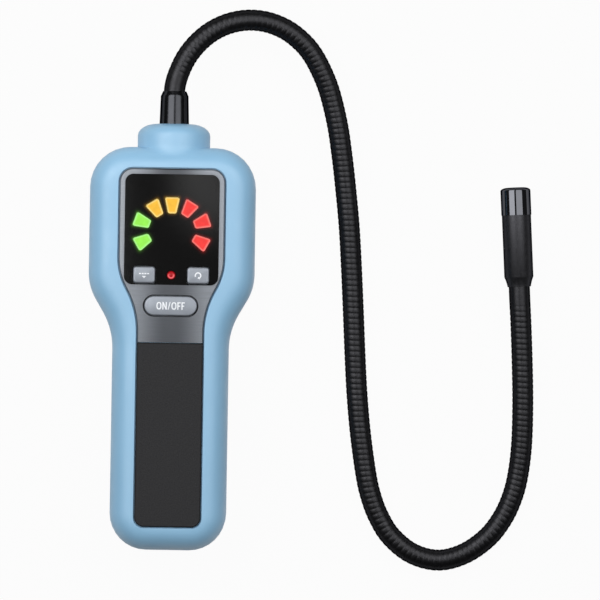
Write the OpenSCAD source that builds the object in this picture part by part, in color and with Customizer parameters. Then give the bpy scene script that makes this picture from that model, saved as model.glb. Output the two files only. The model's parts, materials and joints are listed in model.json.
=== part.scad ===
// Hand-held refrigerant leak detector, lying on its back.
// +Z points out of the face, +Y along the body towards the neck, and z = 0 is the back.
// Lengths are in millimetres.

/* [Housing] */
// Length of the paddle from its base to the top edge of the head
housing_len = 164.6; // [158:0.2:180]
// Width of the head
head_w = 67.7; // [64:0.1:78]
// Width of the handle
handle_w = 47.5; // [46:0.1:54]
// Depth of the closed housing
depth = 36; // [34:0.5:42]
// Length of the straight handle below the waist
handle_len = 82.2; // [78:0.1:88]
// Radius of the hollow curve at the waist
waist_r = 29; // [22:0.5:34]
// Radius of the round curve at the shoulder
shoulder_r = 21.3; // [16:0.1:26]
// Slope of the straight flank between those two curves, in degrees
waist_slope = 30.3; // [27:0.1:36]
// Radius of the top corners of the head
head_r = 16.5; // [13:0.5:19]
// Radius of the base corners
base_r = 15; // [13:0.5:17]
// How far the rounded front edge reaches in
front_edge = 9; // [7:0.25:10]
// Height of the rounded front edge
front_edge_h = 10; // [8:0.25:12]
// How far the rounded rear edge reaches in
rear_edge = 7; // [5:0.25:8]
// Height of the rounded rear edge
rear_edge_h = 8; // [6:0.25:10]
// Thickness of the side walls
side_wall = 4; // [3.5:0.1:4.5]
// Thickness of the front wall under the panel
front_wall = 2; // [1.6:0.1:2.6]
// Thickness of the back wall
back_wall = 2.6; // [2.4:0.1:3.2]
// Depth of the groove along the parting line
parting_groove = 0.5; // [0.2:0.1:1]

/* [Collar] */
// Diameter of the round collar
collar_d = 29.7; // [26:0.1:32]
// Height of the collar above the head
collar_len = 9.8; // [8:0.2:14]
// Height of the domed top of the collar
collar_round = 4.9; // [2:0.1:6]
// How far that dome reaches in
collar_dome = 8; // [4:0.25:8.5]
// How far the cove round the collar's front and back runs up the head's edges, in degrees
collar_cove = 18; // [8:1:24]

/* [Panel and pad] */
// Width of the control panel at the display
panel_w = 44.1; // [42:0.1:46]
// Width of the grip pad
pad_w = 28; // [24:0.25:30]
// Distance from the power button down to the grip pad
pad_gap = 11.1; // [8:0.1:14]
// Thickness of the panel and the pad
panel_t = 1.8; // [1.6:0.1:2.4]
// Radius of the top corners of the panel
panel_r = 6; // [3:0.1:7]
// Radius of the bottom corners of the pad
pad_r = 4.3; // [3:0.1:6]
// Blue margin between the head's top edge and the panel
panel_margin = 8.3; // [7:0.1:9]
// Blue margin between the base and the pad
pad_margin = 9.1; // [8:0.1:12]
// Distance from the bottom of the window down to where the panel starts to widen
panel_waist = 19.6; // [17:0.1:22]
// Radius of the hollow curve of the panel
panel_waist_r = 35.5; // [30:0.5:40]
// Radius of the round curve of the panel
panel_shoulder_r = 27; // [24:0.5:30]
// Open seam round the panel and the pad
seam = 0.5; // [0.3:0.05:0.8]
// Bevel along the edges of the pad
pad_bevel = 0.5; // [0.2:0.1:0.8]
// Bevel along the edge of the panel
panel_bevel = 0.5; // [0.2:0.1:0.8]

/* [Display] */
// Height of the window
window_h = 45; // [44:0.1:46]
// Thickness of the window
window_t = 1; // [0.6:0.1:1.2]
// Rim of the panel beside and above the window
window_rim = 2.85; // [2:0.05:3.4]
// Radius of the corners of the window
window_r = 3.3; // [1.5:0.1:4]
// Distance from the top of the window down to the middle of the top bar
bars_drop = 12.6; // [12:0.1:13.2]
// Length of a bar
bar_len = 6.4; // [5.6:0.1:6.8]
// Width of a bar at its inner end
bar_in = 3.2; // [2:0.1:3.6]
// Width of a bar at its outer end
bar_out = 6; // [5:0.1:6.4]
// Radius of the corners of a bar
bar_round = 0.7; // [0.3:0.05:0.8]
// Diameter of the indicator lamp
lamp_d = 3.5; // [3:0.1:5]

/* [Buttons] */
// Width of a small button
small_w = 8.9; // [8:0.1:10]
// Height of a small button
small_h = 6.5; // [5:0.1:7]
// Radius of the corners of a small button
small_r = 1.2; // [0.9:0.1:2]
// Distance between the centres of the small buttons
small_span = 22; // [21:0.2:24]
// Distance from the bottom of the window up to the row of small buttons
row_rise = 3.9; // [3.6:0.1:5]
// Width of the power button
power_w = 21.5; // [18:0.1:23]
// Height of the power button
power_h = 7.8; // [7:0.1:9]
// Distance from the bottom of the window down to the power button
power_drop = 8.6; // [8:0.1:10]
// How far the buttons stand out of the face
button_proud = 0.7; // [0.4:0.1:1.2]
// Travel of a button
button_travel = 0.8; // [0.4:0.1:1]
// Rounding of the edge of a button
button_round = 0.6; // [0.3:0.1:0.8]
// Clearance round a button
button_gap = 0.35; // [0.2:0.05:0.5]
// Width of the flange that keeps a button in
flange_w = 0.9; // [0.6:0.1:1.2]
// Thickness of that flange
flange_t = 1.2; // [0.8:0.1:1.6]

/* [Battery] */
// Width of the battery
battery_w = 26.5; // [25:0.1:26.8]
// Length of the battery without its studs
battery_len = 48.5; // [45:0.1:49]
// Height of the battery
battery_h = 17.5; // [15:0.1:18]
// Length of the battery door
door_len = 60; // [58:0.2:62]
// Width of the battery door on the outside
door_w = 28; // [27.5:0.1:28.6]
// Reach of the tongues that guide the door
door_tongue = 1.6; // [1:0.1:2]
// Clearance round the door
slide_gap = 0.15; // [0.1:0.05:0.3]

/* [Neck and probe] */
// Diameter of the gooseneck
neck_d = 8.8; // [7.6:0.1:9]
// Distance from the body's axis to the end of the neck
neck_reach = 142.4; // [120:0.2:150]
// Diameter of the ferrule at the collar
ferrule_d = 12.1; // [11.2:0.1:13]
// Diameter of the ferrule below its cone
ferrule_tip_d = 11.4; // [10.8:0.1:12]
// Length of the ferrule outside the collar
ferrule_len = 13.4; // [11:0.1:16]
// Length of the ferrule's cone
ferrule_cone = 2; // [1:0.1:3]
// Diameter of the threaded stem of the ferrule
stem_d = 10; // [9:0.1:10.5]
// Diameter of the probe sleeve
probe_d = 12; // [11.4:0.1:13]
// Diameter of the probe cap
cap_d = 12.4; // [11.6:0.1:13.6]
// Length of the probe sleeve outside the cap
sleeve_len = 29.5; // [26:0.1:32]
// Length of the taper at the neck's end of the sleeve
sleeve_taper = 4.1; // [2:0.1:6]
// Length of the probe cap
cap_len = 11.4; // [10:0.1:14]
// Diameter of the opening in the end of the cap
cap_hole_d = 6.4; // [4.5:0.1:7]

/* [Hidden] */
$fn = 64;

// Clearance between pieces that are pushed together by hand
fit_gap = 0.1;
// Overshoot of a cut past the face it opens
past = 1;
corner_steps = 8;
edge_steps = 8;

// Places along the body
base_y = -(housing_len + collar_len) / 2;
head_y = base_y + housing_len;
collar_y = base_y + housing_len + collar_len;
waist_y = base_y + handle_len;
pad_base_y = base_y + pad_margin;
panel_top_y = head_y - panel_margin;
window_top_y = panel_top_y - window_rim;
window_base_y = window_top_y - window_h;
bars_y = window_top_y - bars_drop;
row_y = window_base_y + row_rise;
power_y = window_base_y - power_drop;
pad_top_y = power_y - power_h / 2 - pad_gap;
window_w = panel_w - 2 * window_rim;

// Heights above the back
split_z = depth / 2;
recess_z = depth - panel_t;
cavity_top = recess_z - front_wall;
window_z = depth - window_t;
flange_lift = 0.2;
flange_z = cavity_top - flange_lift - flange_t;
press_gap = 0.1;
switch_h = 4.3;
switch_top = flange_z - button_travel - press_gap;
board_t = 1.6;
board_top = switch_top - switch_h;
board_z = board_top - board_t;

// Points of an arc round c, from angle a0 to a1
function arc(c, r, a0, a1, steps = corner_steps) =
    [for (i = [0:steps]) let(a = a0 + (a1 - a0) * i / steps) c + r * [cos(a), sin(a)]];

function unit(v) = v / norm(v);

// Rises smoothly from 0 to 1 while u goes from a to b
function ease(a, b, u) = let(t = min(max((u - a) / (b - a), 0), 1)) t * t * (3 - 2 * t);

// Closes a right-hand half outline with its mirror image
function both_sides(half) =
    concat(half, [for (i = [len(half) - 1:-1:0]) [-half[i].x, half[i].y]]);

// Slope at which two arcs with radii that add up to r shift an outline sideways by w
function s_turn(r, w) = acos(1 - w / r);

// Paddle outline, inset by d: narrow below, wide above, with an S curve of two arcs and a flank
// between. low and high are half widths. Every arc keeps its centre, so insets stay parallel.
function paddle(low, high, base, low_r, waist, hollow_r, round_r, turn, top, top_r, d) =
    let(
        both_r = hollow_r + round_r,
        flank = (high - low - both_r * (1 - cos(turn))) / sin(turn),
        rise = both_r * sin(turn) + flank * cos(turn),
        half = concat(
            arc([low - low_r, base + low_r], low_r - d, -90, 0),
            arc([low + hollow_r, waist], hollow_r + d, 180, 180 - turn),
            arc([high - round_r, waist + rise], round_r - d, -turn, 0),
            arc([high - top_r, top - top_r], top_r - d, 0, 90)
        )
    )
    both_sides(half);

// Rounded rectangle round c, inset by d
function plate(c, w, h, r, d) =
    let(x = w / 2 - r, y = h / 2 - r)
    concat(
        arc(c + [x, -y], r - d, -90, 0),
        arc(c + [x, y], r - d, 0, 90),
        arc(c + [-x, y], r - d, 90, 180),
        arc(c + [-x, -y], r - d, 180, 270)
    );

// Convex polygon, counter-clockwise, with its corners rounded to radius r
function rounded(points, r) =
    let(n = len(points))
    [for (i = [0:n - 1])
        let(
            p = points[i],
            u = unit(points[(i + n - 1) % n] - p),
            v = unit(points[(i + 1) % n] - p),
            half_angle = acos(u * v) / 2,
            c = p + unit(u + v) * r / sin(half_angle),
            from = p + u * r / tan(half_angle) - c,
            a = atan2(from.y, from.x)
        )
        each arc(c, r, a, a + 180 - 2 * half_angle, 3)];

housing = function(d) paddle(
    handle_w / 2, head_w / 2, base_y, base_r, waist_y, waist_r, shoulder_r, waist_slope,
    head_y, head_r, d);
panel_turn = s_turn(panel_waist_r + panel_shoulder_r, (panel_w - pad_w) / 2);
panel = function(d) paddle(
    pad_w / 2, panel_w / 2, pad_base_y, pad_r, window_base_y - panel_waist, panel_waist_r,
    panel_shoulder_r, panel_turn, panel_top_y, panel_r, d);
pad = function(d) both_sides(concat(
    arc([pad_w / 2 - pad_r, pad_base_y + pad_r], pad_r - d, -90, 0),
    [[pad_w / 2 - d, pad_top_y + seam - fit_gap - d]]));
window = function(d) plate([0, (window_top_y + window_base_y) / 2], window_w, window_h, window_r, d);
power = function(d) plate([0, power_y], power_w, power_h, power_h / 2, d);
small_left = function(d) plate([-small_span / 2, row_y], small_w, small_h, small_r, d);
small_right = function(d) plate([small_span / 2, row_y], small_w, small_h, small_r, d);

// Closed skin over a row of rings that have the same number of points
module skin(rings) {
    n = len(rings[0]);
    last = len(rings) - 1;
    sides = [for (k = [0:last - 1]) for (i = [0:n - 1])
        let(j = (i + 1) % n) [k * n + i, (k + 1) * n + i, (k + 1) * n + j, k * n + j]];
    bottom = [for (i = [0:n - 1]) i];
    top = [for (i = [n - 1:-1:0]) last * n + i];
    polyhedron(points = [for (r = rings) each r], faces = concat([bottom], sides, [top]));
}

// Solid over an outline, through levels of [inset, height]
module loft(outline, levels) {
    skin([for (l = levels) [for (p = outline(l[0])) [p.x, p.y, l[1]]]]);
}

// Straight solid over an outline between two heights
module prism(outline, d, z0, z1) {
    translate([0, 0, z0]) linear_extrude(z1 - z0) polygon(outline(d));
}

// Keeps of its children what lies between two heights
module between(z0, z1) {
    size = 2 * housing_len;
    difference() {
        children();
        for (z = [z0 - size, z1]) translate([-size / 2, -size / 2, z]) cube(size);
    }
}

// Adds a level at each end of a loft, in line with the last two
function run_on(levels) =
    let(n = len(levels) - 1)
    concat([2 * levels[0] - levels[1]], levels, [2 * levels[n] - levels[n - 1]]);

// Turns a piece made along +Z to lie along +Y on the neck's axis
module on_neck_axis(y) {
    translate([0, y, split_z]) rotate([-90, 0, 0]) children();
}

// Housing: two lofted halves, with the collar turned on the neck's axis. The lofts run on past
// their flat faces, which are cut straight.
front_levels = concat(
    [[parting_groove, split_z], [0, split_z + parting_groove]],
    [for (k = [0:edge_steps]) let(a = 90 * k / edge_steps)
        [front_edge * (1 - cos(a)), depth - front_edge_h * (1 - sin(a))]]
);
rear_levels = concat(
    [for (k = [0:edge_steps]) let(a = 90 * k / edge_steps)
        [rear_edge * (1 - sin(a)), rear_edge_h * (1 - cos(a))]],
    [[0, split_z - parting_groove], [parting_groove, split_z]]
);
cavity_end_y = head_y - side_wall;

// Half profile of the collar at an angle round the neck's axis, as [radius, place along Y]: a foot
// inside the wall, a cove that runs into the head's rounded edge, the side and the domed top.
// The cove is a parabola that meets the edge's ellipse at its slope, a little below its surface.
// It fades out towards the sides, where the sine of the angle falls to cove_from.
collar_sides = 48;
cove_steps = 6;
cove_from = 0.6;
dome_steps = 6;
cove_sink = 0.1;
cove_foot = 0.6;
foot_inset = 3;

function collar_profile(angle) =
    let(
        r = collar_d / 2,
        s = abs(sin(angle)),
        front = sin(angle) < 0,
        reach = front ? front_edge : rear_edge,
        height = front ? front_edge_h : rear_edge_h,
        rise = (front ? depth - split_z : split_z) - height,
        meets = asin(max(r * s - rise, 0) / height),
        share = ease(max(cove_from, rise / r), 1, s),
        t = meets + collar_cove * share,
        end_y = head_y - reach * (1 - cos(t)),
        end_r = share > 0 ? (rise + height * sin(t)) / s - cove_sink * share : r,
        run = share > 0 ? 2 * (end_r - r) * reach * sin(t) * s / (height * cos(t)) : 0,
        start_y = end_y + run + cove_foot,
        foot_y = end_y - cove_foot
    )
    concat(
        [[r - foot_inset, (head_y + cavity_end_y) / 2]],
        [for (k = [0:cove_steps])
            let(
                y = foot_y + (start_y - foot_y) * k / cove_steps,
                u = run > 0 ? min(max((end_y + run - y) / run, 0), 1) : 0
            )
            [r + (end_r - r) * u * u, y]],
        [for (k = [0:dome_steps])
            let(a = 90 * k / dome_steps)
            [r - collar_dome * (1 - cos(a)), collar_y - collar_round * (1 - sin(a))]]
    );

module collar() {
    angles = [for (i = [0:collar_sides - 1]) 360 * (i + 0.5) / collar_sides];
    profiles = [for (a = angles) collar_profile(a)];
    on_neck_axis(0) skin([for (k = [0:len(profiles[0]) - 1]) [for (i = [0:collar_sides - 1])
        let(p = profiles[i][k]) [p[0] * cos(angles[i]), p[0] * sin(angles[i]), p[1]]]]);
}

module stem_bore() {
    on_neck_axis(cavity_end_y - past)
        cylinder(d = stem_d + 2 * fit_gap, h = collar_y - cavity_end_y + 2 * past);
}

module half_body(front) {
    between(front ? split_z : 0, front ? depth : split_z) union() {
        loft(housing, run_on(front ? front_levels : rear_levels));
        collar();
    }
}

module cavity() {
    prism(housing, side_wall, back_wall, cavity_top);
}

// Battery, with its two studs and the connector at the upper end
battery_gap = 0.8;
battery_y = base_y + side_wall + battery_gap;
battery_end_y = battery_y + battery_len;
battery_z = back_wall + fit_gap;
stud_x = 6.35;
stud_len = 3;
stud_d = [5.7, 7.8];
connector_t = 4.6;

// Screw posts: two in the head's corners and two above the battery
post_d = 7;
screw_d = 3;
screw_head_d = 5.6;
screw_head_t = 2;
screw_sink = 0.8;
screw_len = 22;
screw_seat_z = screw_sink + screw_head_t;
head_post_gap = [4, 5.4];
low_post_gap = [3, 9.7];
head_post = [
    head_w / 2 - side_wall - post_d / 2 - head_post_gap.x,
    head_y - side_wall - post_d / 2 - head_post_gap.y
];
low_post = [
    handle_w / 2 - side_wall - post_d / 2 - low_post_gap.x,
    battery_end_y + fit_gap + connector_t + post_d / 2 + low_post_gap.y
];
POSTS = [for (p = [head_post, low_post]) for (side = [-1, 1]) [side * p.x, p.y]];

// Battery bay
lip_t = 1.2;
door_sink = 0.2;
door_y = base_y + door_len;
tongue_x = door_w / 2 + door_tongue;
bay_gap = 0.4;
bay_x = battery_w / 2 + bay_gap;
rib_foot = 1.6;
rib_h = 11;

module bay_ribs() {
    rib_w = tongue_x + slide_gap + rib_foot - bay_x;
    for (side = [-1, 1])
        translate([side * (bay_x + rib_w / 2) - rib_w / 2, battery_y, 0])
            cube([rib_w, battery_len, back_wall + rib_h]);
}

// Door plate, wider above the lip by its tongues, grown by c on its sides
module door_plate(c, z0, z1) {
    length = door_len + past + c;
    translate([-door_w / 2 - c, base_y - past, z0]) cube([door_w + 2 * c, length, z1 - z0]);
    translate([-tongue_x - c, base_y - past, lip_t + slide_gap - c])
        cube([2 * (tongue_x + c), length, z1 - lip_t - slide_gap + c]);
}

// Cuts through the face for the buttons, the lamp and the bars, each grown by its clearance
guide_gap = 0.15;

// Middle and lean of each bar from the top one to the right, counted from the top one's middle.
// The bars on the left mirror them.
BAR_PLACES = [[0, 0], [6.7, -1.5], [12.1, -6.7], [11.7, -14.7]];
BAR_LEANS = [0, 31.5, 70, 119.5];
TOP_BAR = 3;

function bar(c) =
    let(
        slope = (bar_out - bar_in) / 2 / bar_len,
        side = bar_in / 2 + c * sqrt(1 + slope * slope),
        end = bar_len / 2 + c,
        low = side - slope * c,
        high = side + slope * (bar_len + c)
    )
    rounded([[-end, -low], [end, -high], [end, high], [-end, low]], bar_round + c);

// Places its children on the bars from first to last, counted from the left
module on_bars(first, last) {
    for (i = [first:last]) {
        side = sign(i - TOP_BAR);
        place = BAR_PLACES[abs(i - TOP_BAR)];
        lean = side * BAR_LEANS[abs(i - TOP_BAR)];
        translate([side * place.x, bars_y + place.y, 0]) rotate([0, 0, 90 - lean]) children();
    }
}

module face_cuts() {
    z0 = cavity_top - past;
    z1 = depth + past;
    for (outline = [power, small_left, small_right]) prism(outline, -button_gap, z0, z1);
    on_bars(0, 6) translate([0, 0, z0]) linear_extrude(z1 - z0) polygon(bar(guide_gap));
    translate([0, row_y, z0]) cylinder(d = lamp_d + 2 * guide_gap, h = z1 - z0);
}

// Circuit board and the standoffs that carry it
board_gap = 0.5;
board_edge = 2.5;
board_w = handle_w - 2 * side_wall - 2 * board_gap;
board_y0 = power_y - power_h / 2 - board_edge;
board_y1 = bars_y + bar_len / 2 + 2 * guide_gap;
board_r = 2;
standoff_d = 5;
standoff_inset = 3;
board_screw_d = 2;
board_head_d = 4;
board_head_t = 1.4;
board_screw_len = 6;
STANDOFFS = [for (x = [-1, 1]) for (y = [board_y0 + standoff_inset, board_y1 - standoff_inset])
    [x * (board_w / 2 - standoff_inset), y]];
board = function(d) plate([0, (board_y0 + board_y1) / 2], board_w, board_y1 - board_y0, board_r, d);

module front_shell() {
    color("lightskyblue") difference() {
        half_body(true);
        difference() {
            cavity();
            for (p = POSTS) translate([p.x, p.y, 0]) cylinder(d = post_d, h = depth);
            for (p = STANDOFFS) translate([p.x, p.y, board_top]) cylinder(d = standoff_d, h = depth);
        }
        prism(panel, 0, recess_z, depth + past);
        face_cuts();
        stem_bore();
        for (p = POSTS) translate([p.x, p.y, 0])
            cylinder(d = screw_d + fit_gap, h = screw_seat_z + screw_len + past);
        for (p = STANDOFFS) translate([p.x, p.y, 0])
            cylinder(d = board_screw_d + fit_gap, h = board_z + board_screw_len + past);
    }
}

module rear_shell() {
    color("lightskyblue") difference() {
        half_body(false);
        difference() {
            cavity();
            for (p = POSTS) translate([p.x, p.y, 0]) cylinder(d = post_d, h = depth);
            bay_ribs();
        }
        door_plate(slide_gap, -past, back_wall);
        stem_bore();
        for (p = POSTS) translate([p.x, p.y, 0]) {
            cylinder(d = screw_d + 4 * fit_gap, h = depth);
            translate([0, 0, -past]) cylinder(d = screw_head_d + 4 * fit_gap, h = screw_seat_z + past);
        }
    }
}

panel_levels = [[seam, recess_z], [seam, depth - panel_bevel], [seam + panel_bevel, depth]];

module control_panel() {
    color("dimgray") difference() {
        between(recess_z, depth) loft(panel, run_on(panel_levels));
        translate([-head_w / 2, base_y, recess_z - past])
            cube([head_w, pad_top_y + fit_gap - base_y, panel_t + 2 * past]);
        prism(window, -fit_gap, window_z, depth + past);
        face_cuts();
    }
}

module display_window() {
    color("black") difference() {
        prism(window, 0, window_z, depth);
        face_cuts();
    }
}

module grip_pad() {
    color("#303032")
        loft(pad, [[seam, recess_z], [seam, depth - pad_bevel], [seam + pad_bevel, depth]]);
}

// Light guides run from the lamps on the board up to the window
chip_t = 0.8;
chip_size = [2.8, 2.2];
guide_sink = 0.1;

module light_guides(first, last) {
    z0 = board_top + chip_t + fit_gap;
    on_bars(first, last) translate([0, 0, z0]) linear_extrude(depth - guide_sink - z0) polygon(bar(0));
}

module light_guides_green() {
    color("lime") light_guides(0, 1);
}

module light_guides_amber() {
    color("orange") light_guides(2, 3);
}

module light_guides_red() {
    color("red") light_guides(4, 6);
}

module indicator_led() {
    r = lamp_d / 2;
    dome_z = depth - 0.8;
    color("darkred") translate([0, row_y, 0]) {
        translate([0, 0, board_top]) cylinder(r = r, h = dome_z - board_top);
        translate([0, 0, dome_z]) rotate_extrude() polygon(concat([[0, 0]], arc([0, 0], r, 0, 90)));
    }
}

// Button cap with a rounded edge and the flange that keeps it in
module button(outline) {
    top = depth + button_proud;
    edge = [for (k = [0:3]) let(a = 30 * k)
        [button_round * (1 - cos(a)), top - button_round * (1 - sin(a))]];
    flange_top = flange_z + flange_t;
    loft(outline, concat([[-flange_w, flange_z], [-flange_w, flange_top], [0, flange_top]], edge));
}

module power_button() {
    color("silver") button(power);
}

module left_button() {
    color("silver") button(small_left);
}

module right_button() {
    color("silver") button(small_right);
}

module circuit_board() {
    color("darkgreen") difference() {
        prism(board, 0, board_z, board_top);
        for (p = STANDOFFS) translate([p.x, p.y, board_z - past])
            cylinder(d = board_screw_d + 4 * fit_gap, h = board_t + 2 * past);
    }
}

module board_screws() {
    color("gray") for (p = STANDOFFS) translate([p.x, p.y, board_z]) {
        cylinder(d = board_screw_d, h = board_screw_len);
        translate([0, 0, -board_head_t]) cylinder(d = board_head_d, h = board_head_t);
    }
}

module tact_switches() {
    body = 6;
    plunger_d = 3.5;
    plunger_h = 0.8;
    color("#404040") for (p = [[0, power_y], [-small_span / 2, row_y], [small_span / 2, row_y]])
        translate([p.x, p.y, board_top]) {
            translate([-body / 2, -body / 2, 0]) cube([body, body, switch_h - plunger_h]);
            cylinder(d = plunger_d, h = switch_h);
        }
}

module led_chips() {
    color("ivory") on_bars(0, 6) translate([0, 0, board_top + chip_t / 2])
        cube([chip_size.x, chip_size.y, chip_t], center = true);
}

module buzzer() {
    drop = 11.7;
    d = 12;
    h = 7;
    hole_d = 2;
    color("#202020") translate([0, bars_y - drop, board_z - h]) difference() {
        cylinder(d = d, h = h);
        translate([0, 0, -past]) cylinder(d = hole_d, h = past + 2);
    }
}

module on_studs(y) {
    for ($stud = [0, 1])
        translate([(2 * $stud - 1) * stud_x, y, battery_z + battery_h / 2]) rotate([-90, 0, 0]) children();
}

module battery_block() {
    color("#505860") {
        translate([-battery_w / 2, battery_y, battery_z]) cube([battery_w, battery_len, battery_h]);
        on_studs(battery_end_y) cylinder(d = stud_d[$stud], h = stud_len);
    }
}

module battery_connector() {
    w = battery_w - 1;
    h = battery_h - 4;
    color("#252525") difference() {
        translate([-w / 2, battery_end_y + fit_gap, battery_z + (battery_h - h) / 2])
            cube([w, connector_t, h]);
        on_studs(battery_end_y) cylinder(d = stud_d[$stud] + 2 * fit_gap, h = stud_len + fit_gap);
    }
}

module battery_door() {
    ridge_pitch = 2.4;
    ridge_w = 14;
    ridge_depth = 0.5;
    color("lightskyblue") difference() {
        intersection() {
            loft(housing, run_on(rear_levels));
            door_plate(0, door_sink, back_wall - slide_gap);
        }
        for (i = [0:4]) translate([-ridge_w / 2, base_y + 16 + i * ridge_pitch, door_sink - past])
            cube([ridge_w, ridge_pitch / 2, past + ridge_depth]);
    }
}

module case_screws() {
    color("gray") for (p = POSTS) translate([p.x, p.y, screw_seat_z]) {
        cylinder(d = screw_d, h = screw_len);
        translate([0, 0, -screw_head_t]) difference() {
            cylinder(d = screw_head_d, h = screw_head_t);
            for (turn = [0, 90]) rotate([0, 0, turn]) cube([3.2, 0.7, 2], center = true);
        }
    }
}

// Neck: a ferrule through the collar, the gooseneck swept along its route, and the probe
neck_gap = 0.15;
lip_w = 0.25;
socket_len = 8;
lead_d = 5;
nut_t = 4;
nut_w = 15;
stem_end_y = cavity_end_y - nut_t - 2;
mouth_y = collar_y + ferrule_len;

module neck_ferrule() {
    bottom = stem_end_y - mouth_y;
    socket = neck_d / 2 + neck_gap;
    color("#1c1c1e") on_neck_axis(mouth_y) rotate_extrude() polygon([
        [lead_d / 2, bottom], [stem_d / 2, bottom], [stem_d / 2, -ferrule_len],
        [ferrule_d / 2, -ferrule_len], [ferrule_tip_d / 2, -ferrule_cone], [socket + lip_w, 0],
        [socket, 0], [socket, -socket_len - fit_gap], [lead_d / 2, -socket_len - fit_gap]
    ]);
}

module ferrule_nut() {
    color("gray") on_neck_axis(cavity_end_y - fit_gap - nut_t) difference() {
        cylinder(d = nut_w, h = nut_t, $fn = 6);
        translate([0, 0, -past]) cylinder(d = stem_d + 2 * fit_gap, h = nut_t + 2 * past);
    }
}

// Route of the gooseneck from the ferrule's mouth: over the top, down the right side, round a
// U and up to the probe. The first and last legs lie straight in their sockets.
ROUTE = [
    [0, -socket_len], [0, -3], [0, 1.5], [1.4, 7.1], [4.6, 14.1], [9.3, 20.2], [15.2, 25.1], [22.2, 28.4],
    [30, 29.8], [37.9, 29], [45.5, 26], [51.9, 21.2], [56.6, 15.6], [60.8, 7.8], [63.9, -0.3],
    [67, -12.6], [69, -24.9], [70.6, -37.2], [72.4, -53.6], [73.6, -70], [74.8, -90.4],
    [75.7, -106.8], [76.8, -123.2], [78.5, -139.6], [81, -156], [83.1, -164.8], [86.3, -173],
    [91.6, -181.3], [100.5, -188.3], [111.3, -190.9], [121.9, -188.1], [131.3, -181.4], [137.5, -173.2],
    [141.4, -164.4], [143.6, -155.2], [144.9, -142.6], [145.1, -126.1], [144.6, -109.7], [143.8, -93.3],
    [143.25, -84.8], [142.85, -77.8], [142.4, -69.8]
];
floor_gap = 0.15;
neck_z = neck_d / 2 + floor_gap;
probe_z = max(probe_d, cap_d) / 2 + floor_gap;
neck_sides = 12;
neck_steps = 3;

// The neck sinks from the collar's axis to the surface, and rises a little into the probe
function neck_height(u) =
    split_z + (neck_z - split_z) * ease(0.05, 0.55, u) + (probe_z - neck_z) * ease(0.82, 0.95, u);

LAST = len(ROUTE) - 1;
neck_points = [for (i = [0:LAST])
    [ROUTE[i].x * neck_reach / ROUTE[LAST].x, mouth_y + ROUTE[i].y, neck_height(i / LAST)]];

// Point on the smooth curve through b and c, with a before and d after
function spline(a, b, c, d, t) =
    (2 * b + (c - a) * t + (2 * a - 5 * b + 4 * c - d) * t * t + (3 * b - a - 3 * c + d) * t * t * t) / 2;

neck_path = concat(
    [for (i = [0:LAST - 1]) for (k = [0:neck_steps - 1])
        spline(neck_points[max(i - 1, 0)], neck_points[i], neck_points[i + 1],
            neck_points[min(i + 2, LAST)], k / neck_steps)],
    [neck_points[LAST]]
);

module gooseneck() {
    n = len(neck_path);
    color("#18181a") skin([for (i = [0:n - 1])
        let(
            along = unit(neck_path[min(i + 1, n - 1)] - neck_path[max(i - 1, 0)]),
            side = unit(cross(along, [0, 0, 1])),
            up = cross(side, along)
        )
        [for (k = [0:neck_sides - 1]) let(a = 360 * k / neck_sides)
            neck_path[i] + neck_d / 2 * (cos(a) * side - sin(a) * up)]]);
}

// Probe, made along +Z from the end of the neck and laid in line with its last leg
probe_base = neck_points[LAST - 1];
probe_leg = neck_points[LAST] - probe_base;
probe_lean = atan2(-probe_leg.x, probe_leg.y);
taper_steps = 5;
spigot_r = probe_d / 2 - 0.85;
spigot_len = 6;
chamber_r = spigot_r - 0.6;
chamber_z = sleeve_len - 8;
filter_t = 1.8;
cap_end_t = 2.2;
cap_dome = 1.4;

module on_probe() {
    translate(probe_base) rotate([0, 0, probe_lean]) rotate([-90, 0, 0]) children();
}

module probe_sleeve() {
    r = probe_d / 2;
    socket = neck_d / 2 + neck_gap;
    floor_z = socket_len + 2 * neck_gap;
    foot = socket + lip_w;
    taper = [for (k = [0:taper_steps])
        let(u = k / taper_steps) [foot + (r - foot) * (u + u * u) / 2, sleeve_taper * u]];
    color("#202022") on_probe() rotate_extrude() polygon(concat([[socket, 0]], taper, [
        [r, sleeve_len], [spigot_r, sleeve_len], [spigot_r, sleeve_len + spigot_len],
        [chamber_r, sleeve_len + spigot_len], [chamber_r, chamber_z], [lead_d / 2, chamber_z],
        [lead_d / 2, floor_z], [socket, floor_z]
    ]));
}

module probe_cap() {
    r = cap_d / 2;
    hole_r = cap_hole_d / 2;
    end = [for (k = [0:corner_steps])
        let(a = 90 * k / corner_steps)
        [hole_r + (r - hole_r) * cos(a), cap_len - cap_dome * (1 - sin(a))]];
    skirt = spigot_len + fit_gap;
    filter_r = chamber_r;
    color("black") on_probe() translate([0, 0, sleeve_len]) rotate_extrude() polygon(concat(
        [[spigot_r + fit_gap, 0], [r, 0]],
        end,
        [[hole_r, cap_len - cap_end_t], [filter_r, cap_len - cap_end_t],
        [filter_r, skirt], [spigot_r + fit_gap, skirt]]
    ));
}

module sensor_element() {
    base_t = 1.2;
    length = 9;
    color("silver") on_probe() translate([0, 0, chamber_z]) {
        cylinder(r = chamber_r - fit_gap, h = base_t);
        cylinder(r = chamber_r - 0.5, h = length);
    }
}

module sensor_filter() {
    color("darkgoldenrod") on_probe() translate([0, 0, sleeve_len + cap_len - cap_end_t - filter_t])
        cylinder(r = chamber_r - fit_gap, h = filter_t);
}

front_shell();
rear_shell();
control_panel();
display_window();
grip_pad();
light_guides_green();
light_guides_amber();
light_guides_red();
indicator_led();
power_button();
left_button();
right_button();
circuit_board();
board_screws();
tact_switches();
led_chips();
buzzer();
battery_block();
battery_connector();
battery_door();
case_screws();
neck_ferrule();
ferrule_nut();
gooseneck();
probe_sleeve();
probe_cap();
sensor_element();
sensor_filter();
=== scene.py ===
"""Looks of the refrigerant leak detector: finishes, ribbed neck, lit display and button signs."""
import json
import math

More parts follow.
